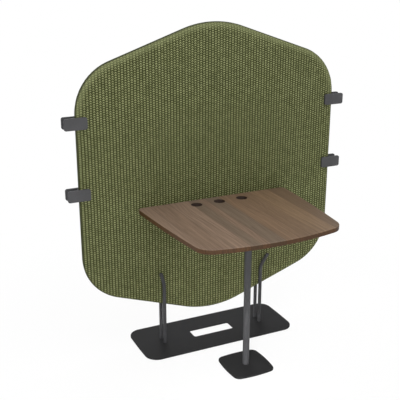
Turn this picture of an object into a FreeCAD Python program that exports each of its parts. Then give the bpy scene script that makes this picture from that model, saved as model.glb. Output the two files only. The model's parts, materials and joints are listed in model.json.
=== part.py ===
import FreeCAD, Part
import math
import os
import Sketcher

# A desk with a privacy screen, in millimetres. +Z is up, +X runs along the screen to the right of
# the person at the desk, and -Y points towards that person. The origin is on the floor, below the
# middle of the screen's width and half way through its thickness.

SIZES = {
    # screen: a stretched hexagon with upright sides, measured from its centre to the sharp corners
    "panel_width": 1357,
    "panel_centre_height": 875.5,
    "apex_reach": 752,
    "shoulder_reach": 516,
    "apex_radius": 472,
    "shoulder_radius": 247,
    "panel_thickness": 30,
    # the two padded covers and the seam between them
    "cover_wall": 8,
    "cover_rim": 10,
    "cover_round": 13,
    "cover_land": 0.8,
    "piping_thickness": 2.4,
    # board frame and infill inside the covers
    "frame_width": 45,
    "frame_fit": 0.3,
    "rail_height": 90,
    "window_radius": 12,
    "infill_fit": 0.5,
    # base plate with its hand slot
    "plate_thickness": 8,
    "plate_ease": 1.5,
    "base_length": 822,
    "base_width": 324,
    "base_end_bulge": 3.6,
    "base_corner_radius": 64,
    "slot_length": 228,
    "slot_width": 75,
    "slot_corner_radius": 10,
    # rods that take the screen between them
    "rod_diameter": 18,
    "rod_inset": 136,
    "rod_past_clamp": 50,
    "rod_bend_radius": 120,
    "rod_flare_angle": 27,
    "rod_flare_heading": 44,
    "rod_tip_length": 54,
    "rod_tip_round": 7,
    "fork_clearance": 0.3,
    # clamp bolts through the rods and the screen
    "bolt_diameter": 6,
    "bolt_head_diameter": 10.5,
    "bolt_head_height": 3.3,
    "bolt_socket": 4,
    "bolt_socket_depth": 2.4,
    "bolt_seat_diameter": 11.5,
    "bolt_seat_depth": 1.6,
    "bolt_past_centre": 3,
    "sleeve_diameter": 12,
    "sleeve_clearance": 0.05,
    # screws
    "thread_clearance": 0.05,
    "screw_spare": 1,
    "head_recess": 0.3,
    "machine_screw_diameter": 8,
    "machine_head_diameter": 15,
    "machine_screw_length": 26,
    "machine_point": 1,
    "machine_socket": 5,
    "machine_socket_depth": 3,
    "wood_screw_diameter": 4.5,
    "wood_head_diameter": 9,
    "wood_screw_length": 22,
    "wood_point": 5,
    "wood_end_diameter": 1,
    "wood_socket": 3,
    "wood_socket_depth": 2,
    "clip_screw_diameter": 3,
    "clip_head_diameter": 6,
    "clip_screw_point": 0.6,
    "clip_socket": 2,
    "clip_socket_depth": 1.4,
    # desk top
    "top_height": 748,
    "top_thickness": 22,
    "top_gap": 0.5,
    "top_rear_width": 802,
    "top_front_width": 694,
    "top_corner_depth": 602,
    "top_side_bulge": 7,
    "top_front_bulge": 47,
    "top_front_radius": 76,
    "top_rear_radius": 22,
    "top_edge_round": 2,
    "cable_hole_diameter": 55,
    "cable_hole_spacing": 123,
    "cable_hole_setback": 67,
    # column under the desk
    "column_reach": 380,
    "column_diameter": 32,
    "column_wall": 2,
    "plug_length": 28,
    "foot_size": 205,
    "foot_bulge": 8.5,
    "foot_corner_radius": 32,
    "flange_diameter": 110,
    "flange_thickness": 6,
    "flange_screw_spacing": 56,
    # angle brackets between desk top and screen
    "bracket_spacing": 440,
    "bracket_width": 70,
    "bracket_thickness": 4,
    "bracket_arm": 90,
    "bracket_drop": 75,
    "bracket_bend": 4,
    "bracket_corner_radius": 10,
    "bracket_hole_spacing": 40,
    "bracket_arm_hole": 60,
    "bracket_drop_hole": 45,
    # link clips on the screen's upright edges
    "clip_upper_height": 1185,
    "clip_lower_height": 852,
    "clip_length": 108,
    "clip_height": 55,
    "clip_thickness": 10,
    "clip_corner_radius": 10,
    "clip_ease": 1.2,
    "clip_web": 6,
    "clip_web_inset": 3,
    "clip_clearance": 0.3,
    "clip_screw_spacing": 28,
    "clip_thread_depth": 8,
}

NEAR = 0.01
AXES = {"XY_Plane": (0, 1, 2), "XZ_Plane": (0, 2, 1), "YZ_Plane": (1, 2, 0)}

# places that several pieces share
FACE = "(sizes.panel_thickness / 2)"
HALF_WIDTH = "(sizes.panel_width / 2)"
SLOPE = f"((sizes.apex_reach - sizes.shoulder_reach) / {HALF_WIDTH})"
STRETCH = f"sqrt(1 + {SLOPE}^2)"
FRAME_INSET = "(sizes.cover_rim + sizes.frame_fit)"
FRAME_THICKNESS = "(2 * (sizes.panel_thickness / 2 - sizes.cover_wall - sizes.frame_fit))"
ROD_X = "(sizes.base_length / 2 - sizes.rod_inset)"
ROD_SPACING = f"(2 * {ROD_X})"
ROD_Y = f"({FACE} + sizes.fork_clearance + sizes.rod_diameter / 2)"
PANEL_FOOT = f"(-sizes.apex_reach + {SLOPE} * {ROD_X})"
CLAMP_HEIGHT = f"({PANEL_FOOT} + ({FRAME_INSET} + sizes.frame_width / 2) * {STRETCH})"
CLAMP_REACH = "(sizes.rod_past_clamp + sizes.panel_centre_height - sizes.plate_thickness)"
ROD_STRAIGHT = f"({CLAMP_HEIGHT} + {CLAMP_REACH})"
TOP_UNDERSIDE = "(sizes.top_height - sizes.top_thickness)"
TOP_REAR = f"(-{FACE} - sizes.top_gap)"
RAIL_HEIGHT = f"({TOP_UNDERSIDE} - sizes.bracket_drop_hole - sizes.panel_centre_height)"
SLOT_HALF = f"({FACE} + sizes.clip_clearance)"
THREAD_PLAY = "(2 * sizes.thread_clearance)"
SLEEVE_HOLE = "(sizes.sleeve_diameter + 2 * sizes.sleeve_clearance)"
WOOD_HOLE = f"(sizes.wood_screw_diameter + {THREAD_PLAY})"
WOOD_REACH = "sizes.wood_screw_length + sizes.head_recess + sizes.screw_spare"
MACHINE_HOLE = f"(sizes.machine_screw_diameter + {THREAD_PLAY})"
BOLT_HOLE = f"(sizes.bolt_diameter + {THREAD_PLAY})"
CLIP_HOLE = f"(sizes.clip_screw_diameter + {THREAD_PLAY})"
COLUMN_BORE = "(sizes.column_diameter - 2 * sizes.column_wall)"
BRACKET_FIRST = "(-(sizes.bracket_spacing + sizes.bracket_hole_spacing) / 2)"
BRACKET_RUNS = ("X_Axis", "sizes.bracket_hole_spacing"), ("X_Axis", "sizes.bracket_spacing")

# screws as shank, head, length, point, end and socket: a head sits a little below its countersink's rim
HEAD_PLAY = "(sizes.head_recess + sizes.thread_clearance)"
MACHINE_SCREW = (
    "sizes.machine_screw_diameter",
    f"(sizes.machine_head_diameter - 2 * {HEAD_PLAY})",
    "sizes.machine_screw_length",
    "sizes.machine_point",
    "sizes.machine_screw_diameter - 2 * sizes.machine_point",
    "sizes.machine_socket",
    "sizes.machine_socket_depth",
)
WOOD_SCREW = (
    "sizes.wood_screw_diameter",
    f"(sizes.wood_head_diameter - 2 * {HEAD_PLAY})",
    "sizes.wood_screw_length",
    "sizes.wood_point",
    "sizes.wood_end_diameter",
    "sizes.wood_socket",
    "sizes.wood_socket_depth",
)

doc = FreeCAD.newDocument("desk_with_privacy_screen")
sheet = doc.addObject("Spreadsheet::Sheet", "sizes")
for row, (word, number) in enumerate(SIZES.items(), start=1):
    sheet.set(f"A{row}", word)
    sheet.set(f"B{row}", str(number))
    sheet.setAlias(f"B{row}", word)
doc.recompute()
nodes = []


def value(text):
    return float(sheet.evalExpression(text))


def new_body(label, x="0", y="0", z="0", tilt=0):
    """A sub-part with its own name, at a place given by the sheet and tilted about X."""
    body = doc.addObject("PartDesign::Body", label)
    body.Label = label
    body.Placement = FreeCAD.Placement(FreeCAD.Vector(), FreeCAD.Rotation(FreeCAD.Vector(1, 0, 0), tilt))
    for axis, text in zip("xyz", (x, y, z)):
        body.setExpression(f"Placement.Base.{axis}", text)
    nodes.append(body)
    return body


def origin_feature(body, role):
    return next(feature for feature in body.Origin.OriginFeatures if feature.Role == role)


def sketch_on(body, name, plane, lift="0"):
    """An empty sketch on one of the body's own planes, lifted along the plane's normal."""
    sketch = body.newObject("Sketcher::SketchObject", f"{body.Name}_{name}")
    sketch.AttachmentSupport = [(origin_feature(body, plane), "")]
    sketch.MapMode = "FlatFace"
    sketch.setExpression("AttachmentOffset.Base.z", lift)
    return sketch


def pin(sketch, geometry, point, x, y):
    """Hold one point of a sketch at x, y from the sketch's origin."""
    for kind, axis, text in (("DistanceX", -2, x), ("DistanceY", -1, y)):
        amount = value(text)
        if abs(amount) < 1e-9:
            sketch.addConstraint(Sketcher.Constraint("PointOnObject", geometry, point, axis))
            continue
        ends = (-1, 1, geometry, point) if amount > 0 else (geometry, point, -1, 1)
        index = sketch.addConstraint(Sketcher.Constraint(kind, *ends, abs(amount)))
        sketch.setExpression(f"Constraints[{index}]", text if amount > 0 else f"-({text})")


def swell(start, end, bulge):
    """The radius of the arc from start to end that stands out from its chord by bulge."""
    chord_squared = f"(({end[0]}) - ({start[0]}))^2 + (({end[1]}) - ({start[1]}))^2"
    return f"({chord_squared}) / (8 * ({bulge})) + ({bulge}) / 2"


def bowed(corners, bulges):
    """Corners with an arc after each one that has a bulge."""
    ahead = corners[1:] + corners[:1]
    return [
        (*here, swell(here, there, bulge)) if bulge else here
        for here, there, bulge in zip(corners, ahead, bulges)
    ]


def outline(sketch, corners, closed=True):
    """Sides from corner to corner. A corner's third entry is the radius of an arc to the next
    corner, which stands out to the right of the way there, or to the left if it is negative."""
    spots = [FreeCAD.Vector(value(corner[0]), value(corner[1]), 0) for corner in corners]
    sides = len(corners) if closed else len(corners) - 1
    ends = []
    for side in range(sides):
        here, there = spots[side], spots[(side + 1) % len(corners)]
        if len(corners[side]) == 2:
            sketch.addGeometry(Part.LineSegment(here, there), False)
            ends.append((1, 2))
            continue
        radius = value(corners[side][2])
        chord = there - here
        rise = abs(radius) - math.sqrt(radius**2 - chord.Length**2 / 4)
        right = FreeCAD.Vector(chord.y, -chord.x, 0).normalize()
        middle = (here + there) * 0.5 + right * math.copysign(rise, radius)
        sketch.addGeometry(Part.Arc(here, middle, there), False)
        ends.append((1, 2) if radius > 0 else (2, 1))
        index = sketch.addConstraint(Sketcher.Constraint("Radius", side, abs(radius)))
        sketch.setExpression(f"Constraints[{index}]", f"abs({corners[side][2]})")
    for side in range(sides):
        pin(sketch, side, ends[side][0], *corners[side][:2])
        if closed or side < sides - 1:
            after = (side + 1) % sides
            joined = Sketcher.Constraint("Coincident", side, ends[side][1], after, ends[after][0])
            sketch.addConstraint(joined)
    if not closed:
        pin(sketch, sides - 1, ends[-1][1], *corners[-1][:2])


def circle(sketch, diameter, x="0", y="0"):
    centre = FreeCAD.Vector(value(x), value(y), 0)
    normal = FreeCAD.Vector(0, 0, 1)
    geometry = sketch.addGeometry(Part.Circle(centre, normal, value(diameter) / 2), False)
    pin(sketch, geometry, 3, x, y)
    index = sketch.addConstraint(Sketcher.Constraint("Diameter", geometry, value(diameter)))
    sketch.setExpression(f"Constraints[{index}]", diameter)


def pad(body, sketch, length, reverse=False, symmetric=False):
    feature = body.newObject("PartDesign::Pad", f"{sketch.Name}_pad")
    feature.Profile = sketch
    feature.setExpression("Length", length)
    feature.Reversed = reverse
    if symmetric:
        feature.SideType = "Symmetric"
    doc.recompute()
    return feature


def pocket(body, sketch, depth=None, reverse=False):
    """A cut of the given depth, or right through both ways, that has to remove something."""
    before = body.Shape.Volume
    feature = body.newObject("PartDesign::Pocket", f"{sketch.Name}_pocket")
    feature.Profile = sketch
    feature.Reversed = reverse
    if depth is None:
        feature.Type = "ThroughAll"
        feature.SideType = "Symmetric"
    else:
        feature.setExpression("Length", depth)
    doc.recompute()
    if body.Shape.Volume > before - NEAR:
        raise ValueError(f"{feature.Name} cuts nothing")
    return feature


def revolve(body, sketch):
    feature = body.newObject("PartDesign::Revolution", f"{sketch.Name}_turned")
    feature.Profile = sketch
    feature.ReferenceAxis = (origin_feature(body, "Z_Axis"), [""])
    feature.Angle = 360
    doc.recompute()
    return feature


def pattern(body, feature, *runs, count=2):
    """Copies of a feature along one or two axes, two each way or count. A run is (axis, length)."""
    copies = body.newObject("PartDesign::LinearPattern", f"{feature.Name}_pattern")
    copies.Originals = [feature]
    for number, (axis, length) in zip(("", "2"), runs):
        setattr(copies, f"Direction{number}", (origin_feature(body, axis), [""]))
        copies.setExpression(f"Length{number}", length)
        setattr(copies, f"Occurrences{number}", count)
    body.Tip = copies
    doc.recompute()
    return copies


def corner_edges(body, plane, corners):
    """The straight edges that stand on the given corners of a sketch on this plane."""
    across, up, _ = AXES[plane]
    places = [(value(corner[0]), value(corner[1])) for corner in corners]
    names = []
    for number, edge in enumerate(body.Tip.Shape.Edges, start=1):
        ends = [(vertex.Point[across], vertex.Point[up]) for vertex in edge.Vertexes]
        upright = len(ends) == 2 and math.dist(*ends) < NEAR
        if upright and any(math.dist(ends[0], place) < NEAR for place in places):
            names.append(f"Edge{number}")
    return names


def rim_edges(body, plane, level, diameter=None):
    """The edges that lie in a plane at this level, or only the circles of one diameter there."""
    along = "XYZ"[AXES[plane][2]]
    height = value(level)
    names = []
    for number, edge in enumerate(body.Tip.Shape.Edges, start=1):
        box = edge.BoundBox
        flat = abs(getattr(box, along + "Min") - height) < NEAR
        flat = flat and abs(getattr(box, along + "Max") - height) < NEAR
        if flat and diameter:
            flat = hasattr(edge.Curve, "Radius") and abs(edge.Curve.Radius * 2 - value(diameter)) < NEAR
        if flat:
            names.append(f"Edge{number}")
    return names


def top_edge(body):
    """The edge whose middle is highest."""
    heights = [edge.CenterOfMass.z for edge in body.Tip.Shape.Edges]
    return [f"Edge{heights.index(max(heights)) + 1}"]


def dress(body, kind, size_name, edges, size):
    feature = body.newObject(f"PartDesign::{kind}", f"{body.Name}_{kind.lower()}")
    feature.Base = (feature.BaseFeature, edges)
    feature.setExpression(size_name, size)
    doc.recompute()
    return feature


def fillet(body, edges, radius):
    return dress(body, "Fillet", "Radius", edges, radius)


def countersink(body, plane, level, hole, head):
    return dress(body, "Chamfer", "Size", rim_edges(body, plane, level, hole), f"(({head}) - ({hole})) / 2")


def hexagon_half(inset, side):
    """The upper half of the screen's rounded outline for side 1, or the lower half for side -1,
    anticlockwise, with every side moved in by inset."""
    half = f"({HALF_WIDTH} - {inset})"
    apex = f"(sizes.apex_reach - {inset} * {STRETCH})"
    shoulder = f"({apex} - {SLOPE} * {half})"
    apex_radius = f"(sizes.apex_radius - {inset})"
    shoulder_radius = f"(sizes.shoulder_radius - {inset})"
    # how far along a side a shoulder's arc starts from the sharp corner
    run = f"({shoulder_radius} * ({STRETCH} - {SLOPE}))"
    apex_x = f"({apex_radius} * {SLOPE} / {STRETCH})"
    slope_x = f"({half} - {run} / {STRETCH})"
    points = [
        (half, f"({shoulder} - {run})", shoulder_radius),
        (slope_x, f"({shoulder} + {run} * {SLOPE} / {STRETCH})"),
        (apex_x, f"({apex} - {apex_x} * {SLOPE})", apex_radius),
        (f"-{apex_x}", f"({apex} - {apex_x} * {SLOPE})"),
        (f"-{slope_x}", f"({shoulder} + {run} * {SLOPE} / {STRETCH})", shoulder_radius),
        (f"-{half}", f"({shoulder} - {run})"),
    ]
    return [(f"{side} * ({x})", f"{side} * {y}", *radius) for x, y, *radius in points]


def hexagon(inset):
    return hexagon_half(inset, 1) + hexagon_half(inset, -1)


def sleeve_holes(body):
    sketch = sketch_on(body, "sleeve_hole", "XZ_Plane")
    circle(sketch, SLEEVE_HOLE, f"-{ROD_X}", CLAMP_HEIGHT)
    pattern(body, pocket(body, sketch), ("X_Axis", ROD_SPACING))


def bracket_holes(body):
    """Four holes along X where the two angle brackets are screwed to the screen."""
    sketch = sketch_on(body, "bracket_hole", "XZ_Plane")
    circle(sketch, WOOD_HOLE, BRACKET_FIRST, RAIL_HEIGHT)
    pattern(body, pocket(body, sketch), *BRACKET_RUNS)


def screen_cover(label, side):
    """One padded half of the screen: a dished hexagon with a soft round rim, open to the middle."""
    body = new_body(label, z="sizes.panel_centre_height")
    seam = f"{-side} * sizes.piping_thickness / 2"
    sketch = sketch_on(body, "outline", "XZ_Plane", seam)
    outline(sketch, hexagon("0"))
    thickness = f"({FACE} - sizes.piping_thickness / 2)"
    pad(body, sketch, thickness, reverse=side > 0)
    rim = rim_edges(body, "XZ_Plane", f"{side} * {FACE}")
    fillet(body, rim, f"min(sizes.cover_round; {thickness} - sizes.cover_land)")
    hollow = sketch_on(body, "hollow", "XZ_Plane", seam)
    outline(hollow, hexagon("sizes.cover_rim"))
    pocket(body, hollow, f"{thickness} - sizes.cover_wall", reverse=side < 0)
    sleeve_holes(body)
    return body


def edge_piping():
    body = new_body("edge_piping", z="sizes.panel_centre_height")
    sketch = sketch_on(body, "outline", "XZ_Plane")
    outline(sketch, hexagon("0"))
    pad(body, sketch, "sizes.piping_thickness", symmetric=True)
    inner = sketch_on(body, "inner", "XZ_Plane")
    outline(inner, hexagon("sizes.cover_rim"))
    pocket(body, inner)


def window(inset, side, rail_gap):
    """The part of the outline above the cross rail for side 1, or below it for side -1."""
    half = f"({side} * ({HALF_WIDTH} - {inset}))"
    radius = f"(sizes.window_radius - {rail_gap})"
    rail = f"({RAIL_HEIGHT} + {side} * (sizes.rail_height / 2 + {rail_gap}))"
    turn = f"{side} * {radius}"
    return hexagon_half(inset, side) + [
        (f"-{half}", f"{rail} + {turn}", radius),
        (f"-{half} + {turn}", rail),
        (f"{half} - {turn}", rail, radius),
        (half, f"{rail} + {turn}"),
    ]


def screen_frame():
    """A board with two windows, so that a cross rail is left where the desk is screwed on."""
    body = new_body("screen_frame", z="sizes.panel_centre_height")
    sketch = sketch_on(body, "outline", "XZ_Plane")
    outline(sketch, hexagon(FRAME_INSET))
    pad(body, sketch, FRAME_THICKNESS, symmetric=True)
    inset = f"({FRAME_INSET} + sizes.frame_width)"
    for name, side in (("upper", 1), ("lower", -1)):
        opening = sketch_on(body, f"{name}_window", "XZ_Plane")
        outline(opening, window(inset, side, "0"))
        pocket(body, opening)
    sleeve_holes(body)
    bracket_holes(body)


def screen_infill(label, side):
    body = new_body(label, z="sizes.panel_centre_height")
    inset = f"({FRAME_INSET} + sizes.frame_width + sizes.infill_fit)"
    sketch = sketch_on(body, "outline", "XZ_Plane")
    outline(sketch, window(inset, side, "sizes.infill_fit"))
    pad(body, sketch, FRAME_THICKNESS, symmetric=True)


def plate(label, y, corners, radius):
    """A flat floor plate with rounded corners and an eased upper edge."""
    body = new_body(label, y=y)
    sketch = sketch_on(body, "outline", "XY_Plane")
    outline(sketch, corners)
    pad(body, sketch, "sizes.plate_thickness")
    fillet(body, corner_edges(body, "XY_Plane", corners), radius)
    fillet(body, rim_edges(body, "XY_Plane", "sizes.plate_thickness"), "sizes.plate_ease")
    return body


def rectangle(length, width, end_bulge=None, side_bulge=None):
    """Four corners about the origin, anticlockwise, whose ends and sides may stand out."""
    right, left = f"({length}) / 2", f"-({length}) / 2"
    far, near = f"({width}) / 2", f"-({width}) / 2"
    corners = [(right, near), (right, far), (left, far), (left, near)]
    return bowed(corners, [end_bulge, side_bulge, end_bulge, side_bulge])


def base_plate():
    corners = rectangle("sizes.base_length", "sizes.base_width", end_bulge="sizes.base_end_bulge")
    body = plate("base_plate", "0", corners, "sizes.base_corner_radius")
    slot = sketch_on(body, "slot", "XY_Plane")
    slot_corners = rectangle("sizes.slot_length", "sizes.slot_width")
    outline(slot, slot_corners)
    pocket(body, slot)
    fillet(body, corner_edges(body, "XY_Plane", slot_corners), "sizes.slot_corner_radius")
    hole = sketch_on(body, "rod_hole", "XY_Plane")
    circle(hole, MACHINE_HOLE, f"-{ROD_X}", f"-{ROD_Y}")
    across = ("X_Axis", ROD_SPACING)
    pattern(body, pocket(body, hole), across, ("Y_Axis", f"2 * {ROD_Y}"))
    countersink(body, "XY_Plane", "0", MACHINE_HOLE, "sizes.machine_head_diameter")


def leg_rod(label, side, face):
    """A round bar, bent at its top away from the screen so that the screen drops in between."""
    body = new_body(label, f"{side} * {ROD_X}", f"{face} * {ROD_Y}", "sizes.plate_thickness")
    section = sketch_on(body, "section", "XY_Plane")
    circle(section, "sizes.rod_diameter")
    path = sketch_on(body, "path", "XZ_Plane")
    heading = f"{90 - 90 * side} + {side * face} * sizes.rod_flare_heading"
    turn = FreeCAD.Rotation(FreeCAD.Vector(0, 1, 0), value(heading))
    path.AttachmentOffset = FreeCAD.Placement(FreeCAD.Vector(), turn)
    path.setExpression("AttachmentOffset.Rotation.Angle", heading)
    angle = "sizes.rod_flare_angle"
    bend_x = f"(sizes.rod_bend_radius * (1 - cos({angle})))"
    bend_z = f"({ROD_STRAIGHT} + sizes.rod_bend_radius * sin({angle}))"
    tip_x = f"{bend_x} + sizes.rod_tip_length * sin({angle})"
    tip_z = f"{bend_z} + sizes.rod_tip_length * cos({angle})"
    bend_start = ("0", ROD_STRAIGHT, "-sizes.rod_bend_radius")
    outline(path, [("0", "0"), bend_start, (bend_x, bend_z), (tip_x, tip_z)], closed=False)
    doc.recompute()
    bar = body.newObject("PartDesign::AdditivePipe", f"{label}_bar")
    bar.Profile = section
    bar.Spine = (path, [])
    doc.recompute()
    fillet(body, top_edge(body), "sizes.rod_tip_round")
    thread = sketch_on(body, "thread", "XY_Plane")
    circle(thread, MACHINE_HOLE)
    depth = "sizes.machine_screw_length + sizes.head_recess - sizes.plate_thickness + sizes.screw_spare"
    pocket(body, thread, depth, reverse=True)
    height = f"sizes.panel_centre_height + {CLAMP_HEIGHT} - sizes.plate_thickness"
    if face > 0:
        cross = sketch_on(body, "cross_hole", "XZ_Plane")
        circle(cross, BOLT_HOLE, "0", height)
        pocket(body, cross)
        seat = sketch_on(body, "bolt_seat", "XZ_Plane", "sizes.bolt_seat_depth - sizes.rod_diameter / 2")
        circle(seat, "sizes.bolt_seat_diameter", "0", height)
        pocket(body, seat, "sizes.rod_diameter")
    else:
        cross = sketch_on(body, "cross_hole", "XZ_Plane", "sizes.bolt_past_centre + sizes.screw_spare")
        circle(cross, BOLT_HOLE, "0", height)
        pocket(body, cross, "sizes.rod_diameter")


def hex_socket(body, width, depth, lift="0"):
    """A hexagonal socket, width across its flats, from the face of a screw's head upwards."""
    sketch = sketch_on(body, "socket", "XY_Plane", lift)
    flat, corner = f"({width} / 2)", f"({width} / sqrt(3))"
    half = [(corner, "0"), (f"({corner} / 2)", flat), (f"(-{corner} / 2)", flat)]
    outline(sketch, half + [(f"-{x}", f"-{y}") for x, y in half])
    return pocket(body, sketch, depth, reverse=True)


def countersunk_screws(label, place, tilt, screw, *runs):
    """A group of screws along +Z with countersunk heads at the bottom."""
    shank, head, length, point, end, drive, drive_depth = screw
    body = new_body(label, *place, tilt=tilt)
    sketch = sketch_on(body, "profile", "XZ_Plane")
    head_depth = f"({head} - {shank}) / 2"
    corners = [("0", "0"), (f"{head} / 2", "0"), (f"{shank} / 2", head_depth)]
    corners += [(f"{shank} / 2", f"{length} - {point}"), (f"({end}) / 2", length), ("0", length)]
    outline(sketch, corners)
    turned = revolve(body, sketch)
    if runs:
        pattern(body, turned, *runs)
    socket = hex_socket(body, drive, drive_depth)
    if runs:
        pattern(body, socket, *runs)


def screen_clamps():
    """Two button-headed bolts from the rear rods to the front rods, in sleeves through the screen."""
    height = f"sizes.panel_centre_height + {CLAMP_HEIGHT}"
    seat = f"({ROD_Y} + sizes.rod_diameter / 2 - sizes.bolt_seat_depth)"
    length = f"({seat} + {ROD_Y} + sizes.bolt_past_centre)"
    run = ("X_Axis", ROD_SPACING)
    bolts = new_body("screen_clamp_bolts", f"-{ROD_X}", seat, height, tilt=90)
    sketch = sketch_on(bolts, "profile", "XZ_Plane")
    shank = "sizes.bolt_diameter / 2"
    crown, rim = ("0", "-sizes.bolt_head_height"), ("sizes.bolt_head_diameter / 2", "0")
    dome = (*crown, f"({rim[0]})^2 / (2 * sizes.bolt_head_height) + sizes.bolt_head_height / 2")
    point = [(shank, f"{length} - sizes.machine_point"), (f"{shank} - sizes.machine_point", length)]
    outline(sketch, [dome, rim, (shank, "0"), *point, ("0", length)])
    pattern(bolts, revolve(bolts, sketch), run)
    head = "-sizes.bolt_head_height"
    pattern(bolts, hex_socket(bolts, "sizes.bolt_socket", "sizes.bolt_socket_depth", head), run)
    sleeves = new_body("screen_clamp_sleeves", f"-{ROD_X}", "0", height)
    section = sketch_on(sleeves, "section", "XZ_Plane")
    circle(section, "sizes.sleeve_diameter")
    circle(section, BOLT_HOLE)
    reach = f"2 * ({FACE} + sizes.fork_clearance - sizes.sleeve_clearance)"
    pattern(sleeves, pad(sleeves, section, reach, symmetric=True), run)


def desk_top():
    """A board with a straight rear edge, slightly swelling sides and a bowed front."""
    body = new_body("desk_top", z=TOP_UNDERSIDE)
    rear, front = "sizes.top_rear_width / 2", "sizes.top_front_width / 2"
    depth = f"({TOP_REAR} - sizes.top_corner_depth)"
    corners = [(rear, TOP_REAR), (f"-{rear}", TOP_REAR), (f"-{front}", depth), (front, depth)]
    bulges = [None, "sizes.top_side_bulge", "sizes.top_front_bulge", "sizes.top_side_bulge"]
    sketch = sketch_on(body, "outline", "XY_Plane")
    outline(sketch, bowed(corners, bulges))
    pad(body, sketch, "sizes.top_thickness")
    fillet(body, corner_edges(body, "XY_Plane", corners[2:]), "sizes.top_front_radius")
    fillet(body, corner_edges(body, "XY_Plane", corners[:2]), "sizes.top_rear_radius")
    for level in ("0", "sizes.top_thickness"):
        fillet(body, rim_edges(body, "XY_Plane", level), "sizes.top_edge_round")
    cable = sketch_on(body, "cable_hole", "XY_Plane")
    setback = f"{TOP_REAR} - sizes.cable_hole_setback"
    circle(cable, "sizes.cable_hole_diameter", "-sizes.cable_hole_spacing", setback)
    pattern(body, pocket(body, cable), ("X_Axis", "2 * sizes.cable_hole_spacing"), count=3)
    flange = sketch_on(body, "flange_hole", "XY_Plane")
    corner = "sizes.flange_screw_spacing / 2"
    circle(flange, WOOD_HOLE, f"-{corner}", f"-sizes.column_reach - {corner}")
    drilled = pocket(body, flange, f"{WOOD_REACH} - sizes.flange_thickness", reverse=True)
    run = "sizes.flange_screw_spacing"
    pattern(body, drilled, ("X_Axis", run), ("Y_Axis", run))
    bracket = sketch_on(body, "bracket_hole", "XY_Plane")
    circle(bracket, WOOD_HOLE, BRACKET_FIRST, f"-{FACE} - sizes.bracket_arm_hole")
    drilled = pocket(body, bracket, f"{WOOD_REACH} - sizes.bracket_thickness", reverse=True)
    pattern(body, drilled, *BRACKET_RUNS)


def column_plug(label, z):
    """A threaded plug in one end of the column's tube."""
    body = new_body(label, y="-sizes.column_reach", z=z)
    section = sketch_on(body, "section", "XY_Plane")
    circle(section, f"{COLUMN_BORE} - {THREAD_PLAY}")
    circle(section, MACHINE_HOLE)
    pad(body, section, "sizes.plug_length")


def desk_column():
    """The tube under the desk, its end plugs, its floor plate, its flange and its screws."""
    y = "-sizes.column_reach"
    top = f"({TOP_UNDERSIDE} - sizes.flange_thickness)"
    tube = new_body("desk_column", y=y, z="sizes.plate_thickness")
    section = sketch_on(tube, "section", "XY_Plane")
    circle(section, "sizes.column_diameter")
    circle(section, COLUMN_BORE)
    pad(tube, section, f"{top} - sizes.plate_thickness")
    column_plug("column_plug_lower", "sizes.plate_thickness")
    column_plug("column_plug_upper", f"{top} - sizes.plug_length")

    corners = rectangle("sizes.foot_size", "sizes.foot_size", "sizes.foot_bulge", "sizes.foot_bulge")
    foot = plate("column_foot_plate", y, corners, "sizes.foot_corner_radius")
    hole = sketch_on(foot, "screw_hole", "XY_Plane")
    circle(hole, MACHINE_HOLE)
    pocket(foot, hole)
    countersink(foot, "XY_Plane", "0", MACHINE_HOLE, "sizes.machine_head_diameter")
    countersunk_screws("column_foot_screw", ("0", y, "sizes.head_recess"), 0, MACHINE_SCREW)

    flange = new_body("column_flange", y=y, z=top)
    disc = sketch_on(flange, "disc", "XY_Plane")
    circle(disc, "sizes.flange_diameter")
    pad(flange, disc, "sizes.flange_thickness")
    fillet(flange, rim_edges(flange, "XY_Plane", "0"), "sizes.plate_ease")
    middle = sketch_on(flange, "middle_hole", "XY_Plane")
    circle(middle, MACHINE_HOLE)
    pocket(flange, middle)
    countersink(flange, "XY_Plane", "sizes.flange_thickness", MACHINE_HOLE, "sizes.machine_head_diameter")
    outer = sketch_on(flange, "outer_hole", "XY_Plane")
    corner = "-sizes.flange_screw_spacing / 2"
    circle(outer, WOOD_HOLE, corner, corner)
    run = "sizes.flange_screw_spacing"
    runs = ("X_Axis", run), ("Y_Axis", run)
    pattern(flange, pocket(flange, outer), *runs)
    countersink(flange, "XY_Plane", "0", WOOD_HOLE, "sizes.wood_head_diameter")
    head = ("0", y, f"{TOP_UNDERSIDE} - sizes.head_recess")
    countersunk_screws("column_flange_screw", head, 180, MACHINE_SCREW)
    first = (corner, f"{y} + {corner}", f"{top} + sizes.head_recess")
    countersunk_screws("column_desk_screws", first, 0, WOOD_SCREW, *runs)


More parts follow.
